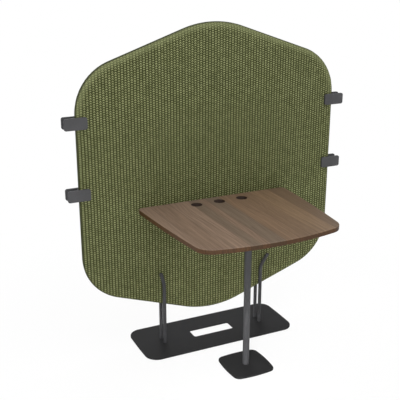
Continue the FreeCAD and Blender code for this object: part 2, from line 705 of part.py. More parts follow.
def desk_bracket(label, side):
    """A bent steel angle: one arm under the desk top, the other down the screen's face."""
    body = new_body(label, f"{side} * sizes.bracket_spacing / 2", f"-{FACE}", TOP_UNDERSIDE)
    arm, drop, wall = "-sizes.bracket_arm", "-sizes.bracket_drop", "-sizes.bracket_thickness"
    half = "sizes.bracket_width / 2"
    profile = sketch_on(body, "profile", "YZ_Plane")
    outline(profile, [("0", "0"), (arm, "0"), (arm, wall), (wall, wall), (wall, drop), ("0", drop)])
    pad(body, profile, "sizes.bracket_width", symmetric=True)
    fillet(body, corner_edges(body, "YZ_Plane", [(wall, wall)]), "sizes.bracket_bend")
    outer_bend = "sizes.bracket_bend + sizes.bracket_thickness"
    fillet(body, corner_edges(body, "YZ_Plane", [("0", "0")]), outer_bend)
    first = "-sizes.bracket_hole_spacing / 2"
    for plane, end, reach in (
        ("XY_Plane", arm, "-sizes.bracket_arm_hole"),
        ("XZ_Plane", drop, "-sizes.bracket_drop_hole"),
    ):
        corners = [(half, end), (f"-{half}", end)]
        fillet(body, corner_edges(body, plane, corners), "sizes.bracket_corner_radius")
        hole = sketch_on(body, f"{plane[:2]}_hole", plane)
        circle(hole, WOOD_HOLE, first, reach)
        pattern(body, pocket(body, hole), ("X_Axis", "sizes.bracket_hole_spacing"))
        countersink(body, plane, wall, WOOD_HOLE, "sizes.wood_head_diameter")


def bracket_screws():
    seat = "sizes.bracket_thickness - sizes.head_recess"
    under = (BRACKET_FIRST, f"-{FACE} - sizes.bracket_arm_hole", f"{TOP_UNDERSIDE} - ({seat})")
    countersunk_screws("bracket_desk_screws", under, 0, WOOD_SCREW, *BRACKET_RUNS)
    height = f"sizes.panel_centre_height + {RAIL_HEIGHT}"
    before = (BRACKET_FIRST, f"-{FACE} - ({seat})", height)
    countersunk_screws("bracket_screen_screws", before, -90, WOOD_SCREW, *BRACKET_RUNS)


def clip_holes(body, lift, depth=None):
    """Two screw holes, one above the other, through a clip's plate or into it."""
    sketch = sketch_on(body, "screw_hole", "XZ_Plane", lift)
    circle(sketch, CLIP_HOLE, "0", "-sizes.clip_screw_spacing / 2")
    cut = pocket(body, sketch, depth, reverse=depth is not None)
    pattern(body, cut, ("Z_Axis", "sizes.clip_screw_spacing"))


def link_clip(level, side_name, side):
    """Two plates on a spacer, H-shaped from above: one slot holds this screen, one the next."""
    name = f"link_clip_{level}_{side_name}"
    height = f"sizes.clip_{level}_height"
    place = (f"{side} * ({HALF_WIDTH} + sizes.clip_clearance + sizes.clip_web / 2)", "0", height)
    outside = f"({SLOT_HALF} + sizes.clip_thickness)"
    corners = rectangle("sizes.clip_length", "sizes.clip_height")
    for face_name, face in (("front", -1), ("rear", 1)):
        body = new_body(f"{name}_{face_name}_plate", *place)
        lift = f"{-face} * {SLOT_HALF}"
        sketch = sketch_on(body, "outline", "XZ_Plane", lift)
        outline(sketch, corners)
        pad(body, sketch, "sizes.clip_thickness", reverse=face > 0)
        fillet(body, corner_edges(body, "XZ_Plane", corners), "sizes.clip_corner_radius")
        for wall in (SLOT_HALF, outside):
            fillet(body, rim_edges(body, "XZ_Plane", f"{face} * {wall}"), "sizes.clip_ease")
        if face < 0:
            clip_holes(body, lift, "sizes.clip_thread_depth")
        else:
            clip_holes(body, lift)
            countersink(body, "XZ_Plane", outside, CLIP_HOLE, "sizes.clip_head_diameter")
    spacer = new_body(f"{name}_spacer", *place)
    block = sketch_on(spacer, "outline", "XZ_Plane")
    outline(block, rectangle("sizes.clip_web", "sizes.clip_height - 2 * sizes.clip_web_inset"))
    pad(spacer, block, f"2 * {SLOT_HALF}", symmetric=True)
    clip_holes(spacer, "0")
    head = f"(sizes.clip_head_diameter - 2 * {HEAD_PLAY})"
    length = f"({outside} + {SLOT_HALF} - sizes.head_recess + sizes.clip_thread_depth - sizes.screw_spare)"
    end = "sizes.clip_screw_diameter - 2 * sizes.clip_screw_point"
    drive = ("sizes.clip_socket", "sizes.clip_socket_depth")
    screw = ("sizes.clip_screw_diameter", head, length, "sizes.clip_screw_point", end, *drive)
    seat = (place[0], f"{outside} - sizes.head_recess", f"{height} - sizes.clip_screw_spacing / 2")
    countersunk_screws(f"{name}_screws", seat, 90, screw, ("Y_Axis", "sizes.clip_screw_spacing"))


def check_and_write():
    doc.recompute()
    for thing in doc.Objects:
        if {"Invalid", "Error"} & set(thing.State):
            raise RuntimeError(f"{thing.Label} failed: {thing.State}")
    for body in nodes:
        if body.Shape.isNull() or not body.Shape.isValid():
            raise RuntimeError(f"{body.Label} has no valid shape")
    os.makedirs("parts", exist_ok=True)
    for body in nodes:
        body.Shape.exportStep(f"parts/{body.Label}.step")


base_plate()
sides = ("left", -1), ("right", 1)
for side_name, side in sides:
    for face_name, face in (("front", -1), ("rear", 1)):
        leg_rod(f"leg_rod_{face_name}_{side_name}", side, face)
rod_runs = ("X_Axis", ROD_SPACING), ("Y_Axis", f"2 * {ROD_Y}")
first_rod = (f"-{ROD_X}", f"-{ROD_Y}", "sizes.head_recess")
countersunk_screws("leg_rod_screws", first_rod, 0, MACHINE_SCREW, *rod_runs)
screen_clamps()

bracket_holes(screen_cover("front_cover", -1))
screen_cover("rear_cover", 1)
edge_piping()
screen_frame()
screen_infill("screen_infill_upper", 1)
screen_infill("screen_infill_lower", -1)

desk_top()
desk_column()
for side_name, side in sides:
    desk_bracket(f"desk_bracket_{side_name}", side)
bracket_screws()

for level in ("upper", "lower"):
    for side_name, side in sides:
        link_clip(level, side_name, side)
check_and_write()
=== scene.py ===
import json
import math

import bmesh
import bpy
import numpy as np
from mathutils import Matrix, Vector
from mathutils.geometry import delaunay_2d_cdt


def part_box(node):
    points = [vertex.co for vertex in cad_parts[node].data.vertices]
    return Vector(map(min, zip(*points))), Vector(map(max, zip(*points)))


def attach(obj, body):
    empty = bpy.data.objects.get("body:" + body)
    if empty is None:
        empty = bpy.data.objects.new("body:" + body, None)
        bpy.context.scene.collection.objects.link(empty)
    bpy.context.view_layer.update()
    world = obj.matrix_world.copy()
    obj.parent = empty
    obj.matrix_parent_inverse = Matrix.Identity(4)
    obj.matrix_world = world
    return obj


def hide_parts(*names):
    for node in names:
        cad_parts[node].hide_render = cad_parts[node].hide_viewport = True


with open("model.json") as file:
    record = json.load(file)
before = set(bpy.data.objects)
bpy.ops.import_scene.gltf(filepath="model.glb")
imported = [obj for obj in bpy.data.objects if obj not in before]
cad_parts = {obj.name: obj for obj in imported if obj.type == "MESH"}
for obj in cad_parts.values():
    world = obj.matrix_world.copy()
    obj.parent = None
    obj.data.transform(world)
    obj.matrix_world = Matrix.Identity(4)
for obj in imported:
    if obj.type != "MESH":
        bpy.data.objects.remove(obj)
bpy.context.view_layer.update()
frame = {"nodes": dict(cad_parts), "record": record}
nodes = frame["nodes"]
mounts = {mount["name"]: mount for mount in frame["record"]["mounts"]}
mainBody = "desk_and_screen"


def paint(red, green, blue):  # a colour as it looks on screen, 0 to 255, made linear for a shader
    return tuple(((value / 255 + 0.055) / 1.055) ** 2.4 for value in (red, green, blue)) + (1.0,)


def put(tree, kind, inputs=None, **settings):  # one node, with its inputs set or linked
    made = tree.nodes.new(kind)
    for name, value in settings.items():
        setattr(made, name, value)
    for key, value in (inputs or {}).items():
        if isinstance(value, bpy.types.NodeSocket):
            tree.links.new(value, made.inputs[key])
        else:
            made.inputs[key].default_value = value
    return made


def calc(tree, operation, *values):
    return put(tree, "ShaderNodeMath", dict(enumerate(values)), operation=operation).outputs[0]


def mixPaint(tree, share, first, second, how="MIX"):
    inputs = {0: share, 6: first, 7: second}
    return put(tree, "ShaderNodeMix", inputs, data_type="RGBA", blend_type=how).outputs[2]


def spread(tree, value, low, high, toLow=0.0, toHigh=1.0, smooth=True):  # fits one range to another
    inputs = {"Value": value, "From Min": low, "From Max": high, "To Min": toLow, "To Max": toHigh}
    kind = "SMOOTHSTEP" if smooth else "LINEAR"
    return put(tree, "ShaderNodeMapRange", inputs, interpolation_type=kind).outputs["Result"]


def scaled(tree, vector, *factors):
    inputs = {0: vector, 1: factors}
    return put(tree, "ShaderNodeVectorMath", inputs, operation="MULTIPLY").outputs["Vector"]


def apart(tree, vector):
    return put(tree, "ShaderNodeSeparateXYZ", {0: vector}).outputs


def noise(tree, vector, scale, detail=3.0, roughness=0.5):
    inputs = {"Vector": vector, "Scale": scale, "Detail": detail, "Roughness": roughness}
    return put(tree, "ShaderNodeTexNoise", inputs).outputs["Fac"]


def newGroup(name, kind, inputs, outputs):  # inputs and outputs as socket names with their types
    tree = bpy.data.node_groups.new(name, kind)
    for direction, sockets in (("INPUT", inputs), ("OUTPUT", outputs)):
        for label, socketType in sockets.items():
            tree.interface.new_socket(label, in_out=direction, socket_type="NodeSocket" + socketType)
    return tree, put(tree, "NodeGroupInput").outputs, put(tree, "NodeGroupOutput").inputs


def onObject(tree):
    return put(tree, "ShaderNodeTexCoord").outputs["Object"]


def newFinish(name, **shine):  # a material, with its plain values set on the shader's own sockets
    material = bpy.data.materials.new(name)
    material.use_nodes = True
    tree = material.node_tree
    surface = tree.nodes["Principled BSDF"]
    for label, value in shine.items():
        surface.inputs[label].default_value = value
    return material, tree, surface


def dress(tree, surface, colour, roughness, height, depth):
    tree.links.new(colour, surface.inputs["Base Color"])
    tree.links.new(roughness, surface.inputs["Roughness"])
    bump = put(tree, "ShaderNodeBump", {"Height": height, "Distance": depth, "Strength": 1.0})
    tree.links.new(bump.outputs["Normal"], surface.inputs["Normal"])


def useGroup(tree, group, **inputs):
    made = put(tree, "ShaderNodeGroup", node_tree=group)
    for label, value in inputs.items():
        wanted = label[0].upper() + label[1:]
        socket = next(found for found in made.inputs if found.name.replace(" ", "") == wanted)
        if isinstance(value, bpy.types.NodeSocket):
            tree.links.new(value, socket)
        else:
            socket.default_value = value
    return made.outputs


# Knit: upright ribs with slanting stitches, each rib half a stitch off the next
knit = {
    "ribSpacing": 0.015,
    "stitchLength": 0.0108,
    "reliefDepth": 0.0016,
    "slant": 0.5,  # stitches from the middle of a rib to its groove
    "stitchShare": 0.5,  # of the relief
    "grooveSharpness": 2.2,
    "ribWander": 0.0003,
    "rowWander": 0.0005,
    "ribWaves": ((3.0, 9.0, 0.0), (-7.0, 23.0, 1.0)),  # radians per metre of x and of z, and at the start
    "rowWaves": ((11.0, 4.0, 0.0), (37.0, -9.0, 2.0)),
    "ribColumns": 3,  # of the finished mesh
    "stitchRows": 2,
    "holdShare": 0.3,  # of the rolled edge, from the seam to where the stitches are full
}


def knitPattern(tree, place):  # the relief from 0 to 1, and where in its rib and its stitch a point is
    across, along, rolled = apart(tree, place)
    hold = calc(tree, "MINIMUM", calc(tree, "DIVIDE", rolled, knit["holdShare"]), 1.0)
    rib = calc(tree, "DIVIDE", across, knit["ribSpacing"])
    fromMiddle = calc(tree, "SUBTRACT", 1.0, calc(tree, "MULTIPLY", calc(tree, "PINGPONG", rib, 0.5), 2.0))
    profile = calc(tree, "SUBTRACT", 1.0, calc(tree, "POWER", fromMiddle, knit["grooveSharpness"]))
    ribNumber = calc(tree, "FLOOR", rib)
    row = calc(tree, "DIVIDE", along, knit["stitchLength"])
    row = calc(tree, "MULTIPLY_ADD", ribNumber, 0.5, row)
    fromColumn = calc(tree, "SUBTRACT", fromMiddle, 1 / knit["ribColumns"])
    row = calc(tree, "MULTIPLY_ADD", fromColumn, knit["slant"], row)
    wave = calc(tree, "COSINE", calc(tree, "MULTIPLY", row, 2 * math.pi))
    stitch = calc(tree, "MULTIPLY_ADD", wave, 0.5, 0.5)
    softened = calc(tree, "MULTIPLY_ADD", stitch, knit["stitchShare"], 1 - knit["stitchShare"])
    height = calc(tree, "MULTIPLY", calc(tree, "MULTIPLY", profile, softened), hold)
    return {
        "height": height,
        "profile": profile,
        "stitch": stitch,
        "ribNumber": ribNumber,
        "row": row,
        "fromMiddle": fromMiddle,
        "hold": hold,
        "rolled": rolled,
    }


# Shared effects
def blended(tree, first, firstShare, second, secondShare):
    return calc(tree, "MULTIPLY_ADD", first, firstShare, calc(tree, "MULTIPLY", second, secondShare))


fibreMix = {
    "cloudScale": 0.06,  # to the fibres' own
    "speckScale": 0.5,
    "hairStretch": 0.35,
    "cloudShare": 0.5,
    "speckShare": 0.5,
}


def fibreGroup():
    inputs = {"Place": "Vector", "Fibre Size": "Float"}
    outputs = {"Fleck": "Float", "Fuzz": "Float"}
    tree, given, result = newGroup("looseFibres", "ShaderNodeTree", inputs, outputs)
    place = given["Place"]
    scale = calc(tree, "DIVIDE", 1.0, given["Fibre Size"])
    cloud = noise(tree, place, calc(tree, "MULTIPLY", scale, fibreMix["cloudScale"]), 2.0)
    speck = noise(tree, place, calc(tree, "MULTIPLY", scale, fibreMix["speckScale"]), 3.0, 0.65)
    hair = noise(tree, scaled(tree, place, 1.0, 1.0, fibreMix["hairStretch"]), scale, 4.0, 0.7)
    fleck = blended(tree, cloud, fibreMix["cloudShare"], speck, fibreMix["speckShare"])
    tree.links.new(fleck, result["Fleck"])
    tree.links.new(hair, result["Fuzz"])
    return tree


powderMix = {
    "broadScale": 9.0,  # per metre
    "pebbleScale": 0.4,  # to the grain's own
    "toneShares": (0.4, 0.7),  # of the grain and of the broad patches
    "skinShares": (0.6, 0.5),  # of the pebbles and of the grain
}


def powderGroup():
    inputs = {"Place": "Vector", "Grain Size": "Float"}
    outputs = {"Tone": "Float", "Skin": "Float"}
    tree, given, result = newGroup("powderSkin", "ShaderNodeTree", inputs, outputs)
    place = given["Place"]
    scale = calc(tree, "DIVIDE", 1.0, given["Grain Size"])
    broad = noise(tree, place, powderMix["broadScale"], 2.0)
    cells = put(tree, "ShaderNodeTexVoronoi", {"Vector": place, "Scale": scale}, feature="SMOOTH_F1")
    grain = cells.outputs["Distance"]
    pebble = noise(tree, place, calc(tree, "MULTIPLY", scale, powderMix["pebbleScale"]), 2.0)
    grainShare, broadShare = powderMix["toneShares"]
    tree.links.new(blended(tree, grain, grainShare, broad, broadShare), result["Tone"])
    pebbleShare, grainShare = powderMix["skinShares"]
    tree.links.new(blended(tree, pebble, pebbleShare, grain, grainShare), result["Skin"])
    return tree


timberMix = {
    "boardShift": 3.7,  # metres along the grain from one board to the next
    "wanderScale": (5.0, 1.3, 5.0),  # per metre
    "wander": 0.16,
    "ringScale": (95.0, 1.0, 1.0),
    "streakScale": (130.0, 3.2, 130.0),
    "poreScale": (620.0, 16.0, 620.0),
    "figureShares": (0.55, 0.45),  # of the rings and of the streaks
}


def timberGroup():  # grain along Y, with another stretch of it on each board
    inputs = {"Place": "Vector", "Board": "Float"}
    outputs = {"Figure": "Float", "Pores": "Float"}
    tree, given, result = newGroup("timberGrain", "ShaderNodeTree", inputs, outputs)
    x, y, z = apart(tree, given["Place"])
    y = calc(tree, "MULTIPLY_ADD", given["Board"], timberMix["boardShift"], y)
    moved = put(tree, "ShaderNodeCombineXYZ", {0: x, 1: y, 2: z}).outputs[0]
    aside = noise(tree, scaled(tree, moved, *timberMix["wanderScale"]), 1.0, 2.0)
    bent = calc(tree, "MULTIPLY_ADD", aside, timberMix["wander"], x)
    ringPlace = put(tree, "ShaderNodeCombineXYZ", {0: bent, 1: given["Board"], 2: 0.0}).outputs[0]
    rings = noise(tree, scaled(tree, ringPlace, *timberMix["ringScale"]), 1.0, 3.0, 0.6)
    streaks = noise(tree, scaled(tree, moved, *timberMix["streakScale"]), 1.0, 4.0, 0.6)
    pores = noise(tree, scaled(tree, moved, *timberMix["poreScale"]), 1.0, 2.0, 0.6)
    ringShare, streakShare = timberMix["figureShares"]
    tree.links.new(blended(tree, rings, ringShare, streaks, streakShare), result["Figure"])
    tree.links.new(pores, result["Pores"])
    return tree


looseFibres = fibreGroup()
powderSkin = powderGroup()
timberGrain = timberGroup()
print("shared effects ready")

# Finishes
fabricLook = {
    # groove is painted shade between the ribs; deepYarn is painted shade between stitches and also the tone
    # of darker-dyed stitches; crest is a painted highlight on raised stitches, varied by flecks and dye
    "groove": paint(41, 44, 20),
    "yarn": paint(85, 89, 54),
    "deepYarn": paint(51, 54, 28),
    "crest": paint(145, 149, 106),
    "fadedYarn": paint(122, 127, 89),  # painted light: paler yarn on the upper rolled edges, where light from above falls
    "fadeShare": 0.5,
    "fadeHeights": (1.05, 1.3),  # metres up, over which it sets in
    "seamShade": paint(44, 46, 32),
    "seamHold": (0.3, 1.0),  # share of the first stitches over which the shade by the seam fades
    "seamShare": 0.9,
    "dyeShare": 0.35,  # of what lifts a stitch's colour toward the painted crest highlight, besides its fibres and a plain part
    "fleckShare": 0.4,
    "plainShare": 0.35,
    "crestRange": (0.15, 0.8),
    "strands": 9.0,  # in a stitch
    "strandTones": (0.75, 1.25),
    "strandRelief": 0.4,  # to the ribs' own
    "fuzzRelief": 0.25,
    "fibreSize": 0.0016,
    "rough": (0.82, 0.96),
    "bumpDepth": 0.0012,
    "shine": {
        "Sheen Weight": 0.2,
        "Sheen Roughness": 0.4,
        "Sheen Tint": paint(200, 205, 150),
        "Specular IOR Level": 0.15,
    },
}


def greenFabric():
    material, tree, surface = newFinish("greenFabric", **fabricLook["shine"])
    place = put(tree, "ShaderNodeAttribute", attribute_name="clothPlace").outputs["Vector"]
    loop = knitPattern(tree, place)
    profile, stitch, row = (loop[label] for label in ("profile", "stitch", "row"))
    cell = put(tree, "ShaderNodeCombineXYZ", {0: loop["ribNumber"], 1: calc(tree, "FLOOR", row), 2: 0.0})
    dye = put(tree, "ShaderNodeTexWhiteNoise", {"Vector": cell.outputs[0]}, noise_dimensions="2D")
    lightDye, deepDye, _ = apart(tree, dye.outputs["Color"])
    onFace = scaled(tree, place, 1.0, 1.0, 0.0)
    fibres = useGroup(tree, looseFibres, place=onFace, fibreSize=fabricLook["fibreSize"])
    lift = calc(tree, "MULTIPLY_ADD", fibres["Fleck"], fabricLook["fleckShare"], fabricLook["plainShare"])
    lift = calc(tree, "MULTIPLY_ADD", lightDye, fabricLook["dyeShare"], lift)
    lift = calc(tree, "MULTIPLY", calc(tree, "MULTIPLY", lift, stitch), profile)
    # painted shade in the troughs between stitches, also darker on stitches of a deeper random dye
    paler = calc(tree, "MULTIPLY", spread(tree, stitch, 0.0, 0.6), spread(tree, deepDye, 0.6, 1.0, 1.0, 0.5))
    yarn = mixPaint(tree, paler, fabricLook["deepYarn"], fabricLook["yarn"])
    # painted shade in the grooves between the ribs
    colour = mixPaint(tree, spread(tree, profile, 0.0, 0.8), fabricLook["groove"], yarn)
    # painted highlight on the raised stitches, varied by the yarn's fibre flecks and random dye
    colour = mixPaint(tree, spread(tree, lift, *fabricLook["crestRange"]), colour, fabricLook["crest"])
    # painted light: the upper rolled edges are made paler, as if lit from above, fading in with height
    upperLightMask = spread(tree, loop["rolled"], knit["holdShare"], 1.0, fabricLook["fadeShare"], 0.0)
    upperLightMask = calc(tree, "MULTIPLY", upperLightMask, spread(tree, apart(tree, place)[1], *fabricLook["fadeHeights"]))
    colour = mixPaint(tree, upperLightMask, colour, fabricLook["fadedYarn"])
    acrossStrands = calc(tree, "MULTIPLY", row, fabricLook["strands"])
    inRib = {0: acrossStrands, 1: loop["fromMiddle"], 2: loop["ribNumber"]}
    strand = noise(tree, put(tree, "ShaderNodeCombineXYZ", inRib).outputs[0], 1.0, 3.0, 0.6)
    tone = spread(tree, strand, 0.3, 0.7, *fabricLook["strandTones"])
    toned = put(tree, "ShaderNodeCombineColor", {0: tone, 1: tone, 2: tone}).outputs[0]
    colour = mixPaint(tree, 1.0, colour, toned, "MULTIPLY")
    bySeam = spread(tree, loop["hold"], *fabricLook["seamHold"], fabricLook["seamShare"], 0.0)
    colour = mixPaint(tree, bySeam, colour, fabricLook["seamShade"])
    relief = calc(tree, "MULTIPLY_ADD", strand, fabricLook["strandRelief"], loop["height"])
    relief = calc(tree, "MULTIPLY_ADD", fibres["Fuzz"], fabricLook["fuzzRelief"], relief)
    roughness = spread(tree, fibres["Fleck"], 0.2, 0.8, *fabricLook["rough"])
    dress(tree, surface, colour, roughness, relief, fabricLook["bumpDepth"])
    return material


fibreLooks = {
    "seamTape": {
        "dark": paint(50, 55, 33),
        "light": paint(76, 82, 54),
        "fibreSize": 0.0009,
        "rough": (0.75, 0.92),
        "gloss": 0.2,
        "bumpDepth": 0.0004,
    },
    "infillFelt": {
        "dark": paint(140, 140, 138),
        "light": paint(176, 176, 172),
        "fibreSize": 0.002,
        "rough": (0.85, 0.97),
        "gloss": 0.1,
        "bumpDepth": 0.0008,
    },
}


def pressedFibre(name):
    look = fibreLooks[name]
    material, tree, surface = newFinish(name, **{"Specular IOR Level": look["gloss"]})
    fibres = useGroup(tree, looseFibres, place=onObject(tree), fibreSize=look["fibreSize"])
    colour = mixPaint(tree, spread(tree, fibres["Fleck"], 0.3, 0.7), look["dark"], look["light"])
    roughness = spread(tree, fibres["Fuzz"], 0.2, 0.8, *look["rough"])
    dress(tree, surface, colour, roughness, fibres["Fuzz"], look["bumpDepth"])
    return material


walnutLook = {
    "tones": {
        "light": paint(137, 115, 98),
        "plain": paint(131, 109, 92),
        "smoky": paint(115, 99, 84),
        "warm": paint(126, 102, 81),
        "russet": paint(121, 98, 77),
        "amber": paint(130, 106, 82),
        "deep": paint(109, 89, 70),
    },
    "strips": (  # from the left: tone, and where the strip ends in x
        ("light", -0.33), ("plain", -0.24), ("light", -0.14), ("smoky", -0.09), ("plain", -0.05),
        ("smoky", 0.025), ("warm", 0.12), ("russet", 0.2), ("amber", 0.305), ("deep", 0.45),
    ),
    "stripBlend": 0.006,
    "dark": paint(66, 52, 42),
    "edge": paint(152, 122, 73),  # multiplies the boards on the edges
    "hole": paint(40, 25, 15),
    "joint": paint(52, 38, 30),
    "jointWidth": 0.0016,
    "veinShare": 0.55,
    "poreShare": 0.35,
    "jointShare": 0.6,
    "rimEase": 0.0022,  # the rounded rim next to the surface
    "holeEase": 0.001,  # from the dark wall of a cable hole out to the boards
    "rough": (0.48, 0.66),
    "bumpDepth": 0.0003,
}


def walnut():
    material, tree, surface = newFinish("walnut", **{"Specular IOR Level": 0.3})
    place = onObject(tree)
    x, y, z = apart(tree, place)
    left = -walnutLook["strips"][-1][1]
    ramp = put(tree, "ShaderNodeValToRGB", {"Fac": spread(tree, x, left, -left, smooth=False)})
    board, toJoint, start = 0.0, 1.0, left
    for tone, end in walnutLook["strips"]:
        for stop in (start + walnutLook["stripBlend"], end - walnutLook["stripBlend"]):
            ramp.color_ramp.elements.new((stop - left) / (-2 * left)).color = walnutLook["tones"][tone]
        board = calc(tree, "ADD", board, calc(tree, "GREATER_THAN", x, end))
        toJoint = calc(tree, "MINIMUM", toJoint, calc(tree, "ABSOLUTE", calc(tree, "SUBTRACT", x, end)))
        start = end
    for spare in (ramp.color_ramp.elements[-1], ramp.color_ramp.elements[0]):  # the two it came with
        ramp.color_ramp.elements.remove(spare)
    grain = useGroup(tree, timberGrain, place=place, board=board)
    veined = spread(tree, grain["Figure"], 0.36, 0.66, 0.0, walnutLook["veinShare"])
    colour = mixPaint(tree, veined, ramp.outputs["Color"], walnutLook["dark"])
    porous = spread(tree, grain["Pores"], 0.6, 0.75, 0.0, walnutLook["poreShare"])
    colour = mixPaint(tree, porous, colour, walnutLook["dark"])
    joined = spread(tree, toJoint, 0.0, walnutLook["jointWidth"], walnutLook["jointShare"], 0.0)
    colour = mixPaint(tree, joined, colour, walnutLook["joint"])
    underside, top = (corner.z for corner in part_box("desk_top"))
    ease = walnutLook["rimEase"]
    belowRim = spread(tree, z, top - ease, top - ease / 2, 1.0, 0.0)
    onEdge = calc(tree, "MULTIPLY", belowRim, calc(tree, "GREATER_THAN", z, underside + ease / 4))
    colour = mixPaint(tree, onEdge, colour, walnutLook["edge"], "MULTIPLY")
    for name, mount in mounts.items():
        if name.startswith("cable_hole"):
            holeX, holeY, _ = mount["pos_m"]
            fromX = calc(tree, "SUBTRACT", x, holeX)
            fromY = calc(tree, "SUBTRACT", y, holeY)
            squares = calc(tree, "ADD", calc(tree, "POWER", fromX, 2.0), calc(tree, "POWER", fromY, 2.0))
            reach = calc(tree, "SQRT", squares)
            radius = mount["dims"]["r_mm"] / 1000
            inside = spread(tree, reach, radius, radius + walnutLook["holeEase"], 1.0, 0.0)
            colour = mixPaint(tree, inside, colour, walnutLook["hole"])
    roughness = spread(tree, grain["Pores"], 0.3, 0.75, *walnutLook["rough"])
    height = blended(tree, grain["Pores"], -0.6, grain["Figure"], -0.3)  # both sink into the surface
    dress(tree, surface, colour, roughness, height, walnutLook["bumpDepth"])
    return material


boardLook = {
    "light": paint(205, 178, 138),
    "dark": paint(160, 128, 90),
    "rough": (0.6, 0.8),
    "bumpDepth": 0.0003,
}


def frameBoard():
    material, tree, surface = newFinish("frameBoard", **{"Specular IOR Level": 0.2})
    grain = useGroup(tree, timberGrain, place=onObject(tree), board=0.0)
    colour = mixPaint(tree, spread(tree, grain["Figure"], 0.35, 0.7), boardLook["light"], boardLook["dark"])
    roughness = spread(tree, grain["Pores"], 0.3, 0.7, *boardLook["rough"])
    dress(tree, surface, colour, roughness, grain["Pores"], boardLook["bumpDepth"])
    return material


coatLooks = {
    "anthraciteSteel": {
        "dark": paint(55, 55, 56),
        "light": paint(71, 71, 73),
        "grain": 0.0016,
        "rough": (0.58, 0.7),
        "gloss": 0.18,
        "bumpDepth": 0.00012,
    },
    "blackSteel": {
        "dark": paint(34, 34, 35),
        "light": paint(43, 43, 44),
        "grain": 0.0014,
        "rough": (0.72, 0.85),
        "gloss": 0.1,
        "bumpDepth": 0.00012,
    },
    "clipCoat": {
        "dark": paint(66, 66, 67),
        "light": paint(79, 79, 81),
        "grain": 0.0011,
        "rough": (0.6, 0.75),
        "gloss": 0.15,
        "bumpDepth": 0.00012,
    },
}


def powderCoat(name):
    look = coatLooks[name]
    material, tree, surface = newFinish(name, **{"Specular IOR Level": look["gloss"]})
    skin = useGroup(tree, powderSkin, place=onObject(tree), grainSize=look["grain"])
    colour = mixPaint(tree, spread(tree, skin["Tone"], 0.3, 0.8), look["dark"], look["light"])
    roughness = spread(tree, skin["Tone"], 0.2, 0.8, *look["rough"])
    dress(tree, surface, colour, roughness, skin["Skin"], look["bumpDepth"])
    return material


screwLook = {
    "dark": paint(96, 96, 98),
    "light": paint(150, 150, 152),
    "turnScale": (900.0, 900.0, 2600.0),  # of the marks from turning, per metre
    "rough": (0.3, 0.48),
    "bumpDepth": 0.00006,
}


def screwSteel():
    material, tree, surface = newFinish("screwSteel", Metallic=1.0)
    turned = noise(tree, scaled(tree, onObject(tree), *screwLook["turnScale"]), 1.0, 3.0)
    colour = mixPaint(tree, spread(tree, turned, 0.3, 0.7), screwLook["dark"], screwLook["light"])
    roughness = spread(tree, turned, 0.3, 0.7, *screwLook["rough"])
    dress(tree, surface, colour, roughness, turned, screwLook["bumpDepth"])
    return material


finishes = {
    "green_fabric": greenFabric(),
    "seam_tape": pressedFibre("seamTape"),
    "infill_felt": pressedFibre("infillFelt"),
    "walnut": walnut(),
    "frame_board": frameBoard(),
    "anthracite_steel": powderCoat("anthraciteSteel"),
    "black_steel": powderCoat("blackSteel"),
    "clip_aluminium": powderCoat("clipCoat"),
    "screw_steel": screwSteel(),
}
for part in frame["record"]["subparts"]:
    for place in nodes[part["node"]].material_slots:
        place.material = finishes[part["material_slot"]]

# Screen covers: two padded halves that meet at a seam round a hexagon with rounded corners
cover = {
    "apexReach": 0.752,  # the sharp corner above or below the middle
    "shoulderReach": 0.516,
    "apexRadius": 0.472,
    "shoulderRadius": 0.247,
    "faceDepth": 0.014,  # from the seam's plane to the face, before it swells
    "rollWidth": 0.04,
    "rollMiddle": 0.0055,  # depth of the widest line of the rolled edge
    "tuckAngle": -25.0,  # degrees the fabric turns in to the seam
    "rollSteps": 10,
    "edgeSteps": 512,
    "fineSteps": 40,  # from one place on the edge to the next
    "gridMargin": 0.45,  # columns from the roll to the outermost squares
    "rimWidth": 0.01,
    "lining": 0.0071,  # depth of the inner side
    "liningStep": 0.06,
    "pressure": 4.0,
    "stretchStiffness": 25.0,
    "bendStiffness": 2.0,
    "heldMargin": 0.008,  # round what rests on the fabric
    "frames": 20,
    "evening": 60,  # rounds
    "swell": 0.0025,  # the most that a point moves
}
frontLow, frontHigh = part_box("front_cover")
screenHalf = frontHigh.x
screenMiddle = (frontLow.z + frontHigh.z) / 2


def edgeWalk(count):  # even steps round the screen: places and outward directions in the screen's plane
    apex, shoulder = cover["apexReach"], cover["shoulderReach"]
    corners = np.array([(0, apex), (screenHalf, shoulder), (screenHalf, -shoulder)])
    corners = np.concatenate([corners, -corners])
    radii = np.tile([cover["apexRadius"], cover["shoulderRadius"], cover["shoulderRadius"]], 2)
    sides = np.roll(corners, -1, 0) - corners
    lengths = np.hypot(*sides.T)
    headings = np.arctan2(sides[:, 1], sides[:, 0])
    turns = (np.roll(headings, 1) - headings) % (2 * math.pi)
    cuts = radii * np.tan(turns / 2)
    knots, bearings = [0.0], [headings[-1]]
    for index in range(len(corners)):
        knots.append(knots[-1] + radii[index] * turns[index])
        bearings.append(bearings[-1] - turns[index])
        knots.append(knots[-1] + lengths[index] - cuts[index] - cuts[(index + 1) % len(corners)])
        bearings.append(bearings[-1])
    finer = cover["fineSteps"]
    fine = np.linspace(0, knots[-1], finer * count + 1)
    heading = np.interp((fine[1:] + fine[:-1]) / 2, knots, bearings)
    steps = np.column_stack([np.cos(heading), np.sin(heading)]) * fine[1]
    start = corners[0] - cuts[0] * sides[-1] / lengths[-1] + (0, screenMiddle)
    points = start + np.concatenate([np.zeros((1, 2)), np.cumsum(steps, 0)])[:-1:finer]
    heading = np.interp(fine[:-1:finer], knots, bearings)
    return points, np.column_stack([-np.sin(heading), np.cos(heading)])


def waves(name, x, z):
    return sum(math.sin(byX * x + byZ * z + start) for byX, byZ, start in knit[name])


def wander(x, z):  # ribs and rows of stitches that aren't quite straight
    return x + knit["ribWander"] * waves("ribWaves", x, z), z + knit["rowWander"] * waves("rowWaves", x, z)


